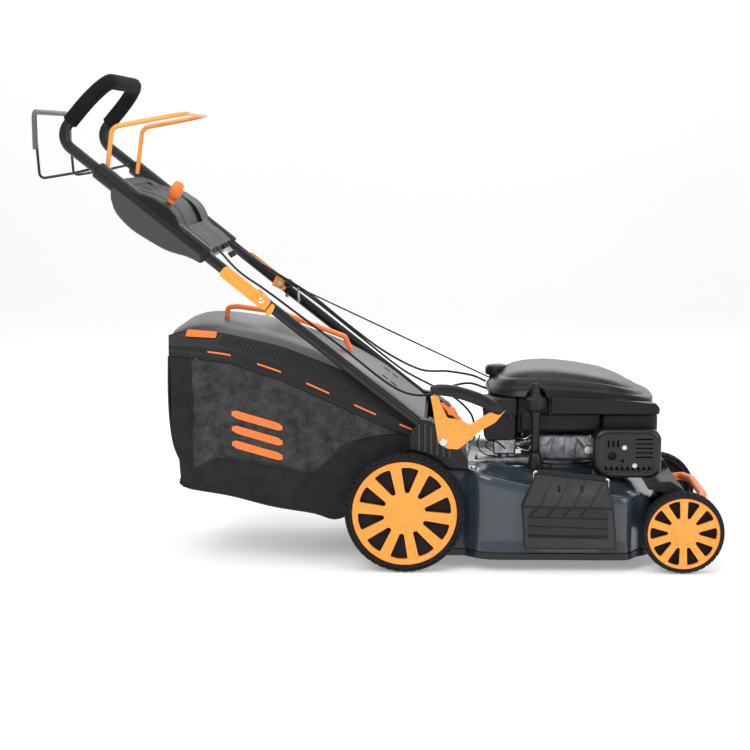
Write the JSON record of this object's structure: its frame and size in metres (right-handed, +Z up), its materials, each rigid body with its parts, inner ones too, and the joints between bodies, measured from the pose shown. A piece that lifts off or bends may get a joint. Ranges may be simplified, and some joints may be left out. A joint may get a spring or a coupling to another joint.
{
  "type": "rotary lawn mower",
  "caption": "Walk-behind petrol rotary lawn mower with folding handle, two control bails, four wheels, steel deck, blade and a cloth grass catcher.",
  "frame": {"origin": "middle of the machine's footprint, on the ground", "axes": "+X to the front of the mower, +Y to its left as the user stands behind it, +Z up"},
  "size_m": [1.5929, 0.5265, 1.1481],
  "materials": {
    "tyre": "matt",
    "orange": "satin",
    "deck_paint": "gloss",
    "black_plastic": "textured",
    "grey_plastic": "satin",
    "black_paint": "satin",
    "steel": "plain",
    "aluminium": "as cast",
    "foam": "matt foam",
    "bail_grey": "satin",
    "bail_orange": "satin",
    "cloth": "mesh and woven cloth",
    "lid_plastic": "gloss"
  },
  "bodies": {
    "chassis": {"deck_shell": "deck_paint", "front_axle_housing": "black_plastic", "front_lift_bar": "orange", "front_axle": "steel", "rear_axle": "steel", "handle_bracket_L": "black_plastic", "handle_bracket_R": "black_plastic", "lower_tube_L": "black_paint", "lower_tube_R": "black_paint", "clamp_bolt_L": "bail_orange", "clamp_bolt_R": "bail_orange", "crankcase": "aluminium", "cylinder": "aluminium", "spark_plug": "aluminium", "recoil_starter_housing": "black_plastic", "engine_hood": "grey_plastic", "fuel_tank": "black_plastic", "air_filter_box": "black_plastic", "carburettor": "aluminium", "oil_filler_tube": "black_plastic", "muffler": "steel", "muffler_guard": "black_paint", "gearbox": "aluminium", "drive_belt": "tyre", "brake_cable": "black_plastic", "throttle_cable": "black_plastic", "drive_cable": "black_plastic"},
    "rear_wheel_L": {"rear_tyre_L": "tyre", "rear_disc_L": "orange"},
    "front_wheel_L": {"front_tyre_L": "tyre", "front_disc_L": "orange"},
    "clamp_lever_L": {"clamp_lever_L": "orange"},
    "rear_wheel_R": {"rear_tyre_R": "tyre", "rear_disc_R": "orange"},
    "front_wheel_R": {"front_tyre_R": "tyre", "front_disc_R": "orange"},
    "clamp_lever_R": {"clamp_lever_R": "orange"},
    "crank_and_blade": {"crankshaft": "steel", "flywheel": "aluminium", "blade_holder": "steel", "blade": "steel"},
    "discharge_flap": {"discharge_flap": "black_plastic"},
    "rear_door": {"rear_door": "black_plastic"},
    "height_lever": {"height_lever": "orange", "height_lever_grip": "grey_plastic"},
    "upper_handle": {"upper_handle": "black_paint", "foam_grip": "foam", "console_base": "grey_plastic", "console_cover": "grey_plastic"},
    "drive_bail": {"drive_bail": "bail_grey"},
    "brake_bail": {"brake_bail": "bail_orange"},
    "throttle_lever": {"throttle_lever": "orange"},
    "starter_pull": {"starter_rope": "foam", "starter_grip": "black_plastic"},
    "fuel_cap": {"fuel_cap": "grey_plastic"},
    "oil_cap": {"oil_cap": "black_plastic"},
    "catcher": {"catcher_lid": "lid_plastic", "catcher_frame": "black_plastic", "catcher_bag": "cloth", "catcher_handle": "orange"}
  },
  "joints": [
    {"name": "rear_wheel_L_spin", "type": "hinge", "parent": "chassis", "child": "rear_wheel_L", "pos_m": [0.06125, 0.24, 0.14], "axis": [0, 1, 0], "continuous": true},
    {"name": "front_wheel_L_spin", "type": "hinge", "parent": "chassis", "child": "front_wheel_L", "pos_m": [0.70125, 0.24, 0.0955], "axis": [0, 1, 0], "continuous": true},
    {"name": "rear_wheel_R_spin", "type": "hinge", "parent": "chassis", "child": "rear_wheel_R", "pos_m": [0.06125, -0.24, 0.14], "axis": [0, 1, 0], "continuous": true},
    {"name": "front_wheel_R_spin", "type": "hinge", "parent": "chassis", "child": "front_wheel_R", "pos_m": [0.70125, -0.24, 0.0955], "axis": [0, 1, 0], "continuous": true},
    {"name": "crank_spin", "type": "hinge", "parent": "chassis", "child": "crank_and_blade", "pos_m": [0.43125, 0, 0.2], "axis": [0, 0, 1], "continuous": true},
    {"name": "discharge_flap_hinge", "type": "hinge", "parent": "chassis", "child": "discharge_flap", "pos_m": [0.44475, -0.24, 0.2275], "axis": [-0.9942, 0, 0.1077], "range_deg": [0, 80], "stiffness_Nm_per_rad": 0.1, "springref_deg": -28.65},
    {"name": "rear_door_hinge", "type": "hinge", "parent": "chassis", "child": "rear_door", "pos_m": [0.19625, 0, 0.262], "axis": [0, 1, 0], "range_deg": [0, 40]},
    {"name": "height_lever_pivot", "type": "hinge", "parent": "chassis", "child": "height_lever", "pos_m": [0.15125, -0.2312, 0.303], "axis": [0, 1, 0], "range_deg": [-12, 10]},
    {"name": "handle_fold", "type": "hinge", "parent": "chassis", "child": "upper_handle", "pos_m": [-0.26475, 0, 0.631], "axis": [0, 1, 0], "range_deg": [0, 130], "deforming": ["throttle_cable", "brake_cable", "drive_cable"]},
    {"name": "clamp_lever_L_pivot", "type": "hinge", "parent": "chassis", "child": "clamp_lever_L", "pos_m": [-0.25268, 0.2358, 0.62128], "axis": [-0.6272, 0, -0.7789], "range_deg": [0, 110]},
    {"name": "clamp_lever_R_pivot", "type": "hinge", "parent": "chassis", "child": "clamp_lever_R", "pos_m": [-0.25268, -0.2358, 0.62128], "axis": [0.6272, 0, 0.7789], "range_deg": [0, 110]},
    {"name": "drive_bail_pivot", "type": "hinge", "parent": "upper_handle", "child": "drive_bail", "pos_m": [-0.64475, 0, 0.934], "axis": [0, 1, 0], "range_deg": [0, 42], "stiffness_Nm_per_rad": 0.6, "springref_deg": -28.65},
    {"name": "brake_bail_pivot", "type": "hinge", "parent": "upper_handle", "child": "brake_bail", "pos_m": [-0.62175, 0, 0.916], "axis": [0, -1, 0], "range_deg": [0, 40], "stiffness_Nm_per_rad": 0.6, "springref_deg": -28.65},
    {"name": "throttle_lever_pivot", "type": "hinge", "parent": "upper_handle", "child": "throttle_lever", "pos_m": [-0.51375, -0.145, 0.79], "axis": [0, 1, 0], "range_deg": [-10, 40]},
    {"name": "starter_rope_pull", "type": "slide", "parent": "chassis", "child": "starter_pull", "axis": [-0.9047, 0.0387, 0.4243], "range_m": [0, 0.17], "stiffness_N_per_m": 20, "springref_m": -0.3},
    {"name": "fuel_cap_turn", "type": "hinge", "parent": "chassis", "child": "fuel_cap", "pos_m": [0.28175, 0.05, 0.4215], "axis": [0, 0, 1], "range_deg": [0, 120]},
    {"name": "oil_cap_turn", "type": "hinge", "parent": "chassis", "child": "oil_cap", "pos_m": [0.36525, -0.181, 0.3735], "axis": [0, 0, 1], "range_deg": [0, 120]},
    {"name": "catcher_lift_off", "type": "slide", "parent": "chassis", "child": "catcher", "axis": [-0.97, 0, 0.243], "range_m": [0, 0.3]}
  ]
}
